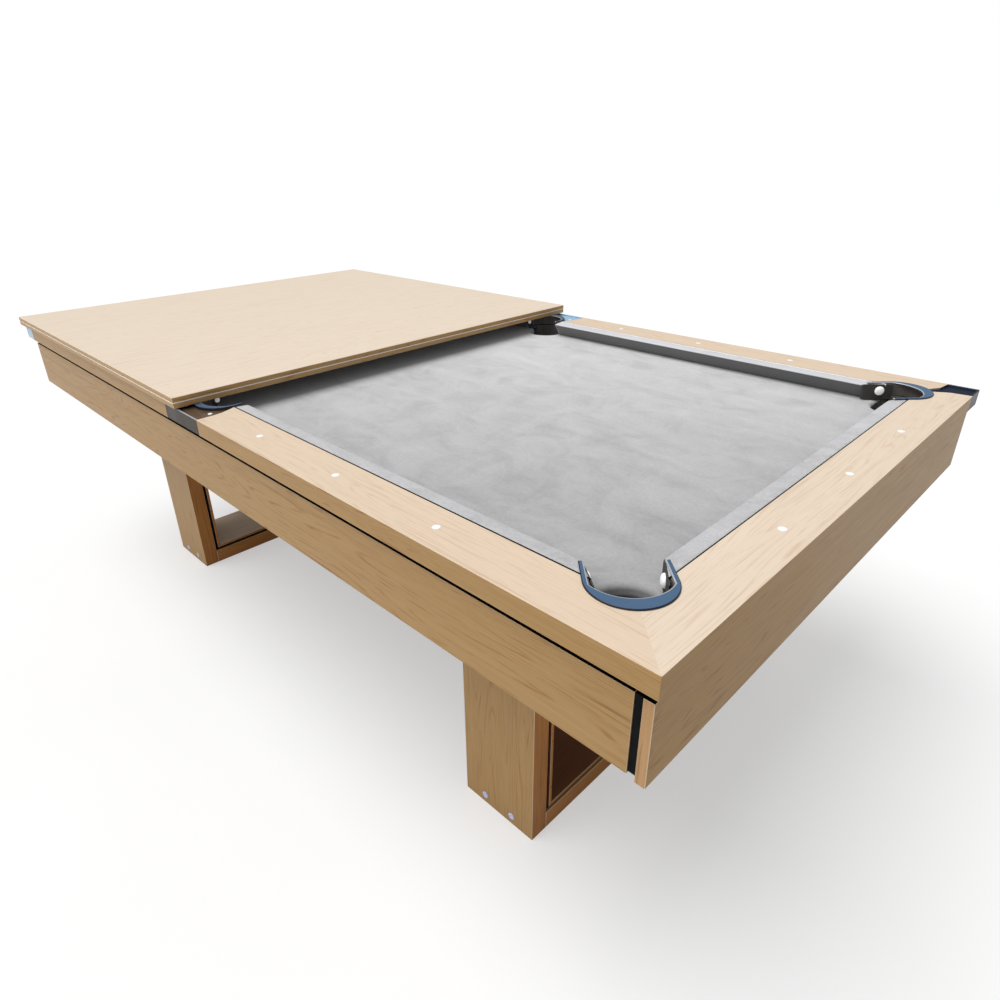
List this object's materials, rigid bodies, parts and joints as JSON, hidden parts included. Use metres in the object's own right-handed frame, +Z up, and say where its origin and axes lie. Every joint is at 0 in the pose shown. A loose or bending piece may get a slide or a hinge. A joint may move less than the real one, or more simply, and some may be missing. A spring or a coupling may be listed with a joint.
{
  "type": "pool table",
  "caption": "Slate pool table with drop pockets, oak cabinet, box-frame legs and a two-panel lift-off dining top stacked over one half.",
  "frame": {"origin": "on the floor under the middle of the outline, dining top included; the table itself is centred 13.65 mm towards +X of it", "axes": "+X along the table towards the open end, +Y across it, +Z up"},
  "size_m": [2.5492, 1.3868, 0.8511],
  "materials": {
    "oak": "light oak laminate, satin, straight grain",
    "cloth": "light grey napped billiard cloth",
    "pocket_iron": "blue-black coated steel, satin",
    "casting": "dark blue film over cast metal, semi-gloss",
    "bracket": "dark brushed gunmetal",
    "black_plastic": "matt black",
    "plywood": "unfinished plywood",
    "slate": "honed slate",
    "felt": "pale felt strip"
  },
  "bodies": {
    "table": {"side_rail_near_left": "oak", "side_cushion_near_left": "cloth", "pocket_iron_near_left": "pocket_iron", "pocket_cup_near_left": "black_plastic", "corner_casting_near_left": "casting", "leg_post_left_near": "oak", "side_rail_near_right": "oak", "side_cushion_near_right": "cloth", "pocket_iron_near_right": "pocket_iron", "pocket_cup_near_right": "black_plastic", "leg_post_right_near": "oak", "pocket_iron_near_side": "pocket_iron", "pocket_cup_near_side": "black_plastic", "side_bracket_near": "bracket", "side_apron_near": "oak", "corner_strip_near": "black_plastic", "long_beam_near": "plywood", "side_rail_far_left": "oak", "side_cushion_far_left": "cloth", "pocket_iron_far_left": "pocket_iron", "pocket_cup_far_left": "black_plastic", "corner_casting_far_left": "casting", "leg_post_left_far": "oak", "side_rail_far_right": "oak", "side_cushion_far_right": "cloth", "pocket_iron_far_right": "pocket_iron", "pocket_cup_far_right": "black_plastic", "corner_casting_far_right": "casting", "leg_post_right_far": "oak", "pocket_iron_far_side": "pocket_iron", "pocket_cup_far_side": "black_plastic", "side_bracket_far": "bracket", "side_apron_far": "oak", "corner_strip_far": "black_plastic", "long_beam_far": "plywood", "end_rail_left": "oak", "end_cushion_left": "cloth", "end_panel_left": "oak", "leg_base_left": "oak", "leg_top_left": "oak", "leg_reveal_left": "black_plastic", "leg_liner_left": "oak", "leg_beam_left": "plywood", "slate_beam_left": "plywood", "end_rail_right": "oak", "end_cushion_right": "cloth", "end_panel_right": "oak", "leg_base_right": "oak", "leg_top_right": "oak", "leg_reveal_right": "black_plastic", "leg_liner_right": "oak", "leg_beam_right": "plywood", "slate_beam_right": "plywood", "slate_left": "slate", "slate_middle": "slate", "slate_right": "slate", "bed_cloth": "cloth"},
    "dining_panel_lower": {"dining_felt_strip": "felt", "dining_panel_lower": "oak"},
    "dining_panel_upper": {"dining_panel_upper": "oak"}
  },
  "joints": [
    {"name": "dining_lower_lift", "type": "slide", "parent": "table", "child": "dining_panel_lower", "axis": [0, 0, 1], "range_m": [0, 0.4]},
    {"name": "dining_upper_lift", "type": "slide", "parent": "dining_panel_lower", "child": "dining_panel_upper", "axis": [0, 0, 1], "range_m": [0, 0.4]}
  ]
}
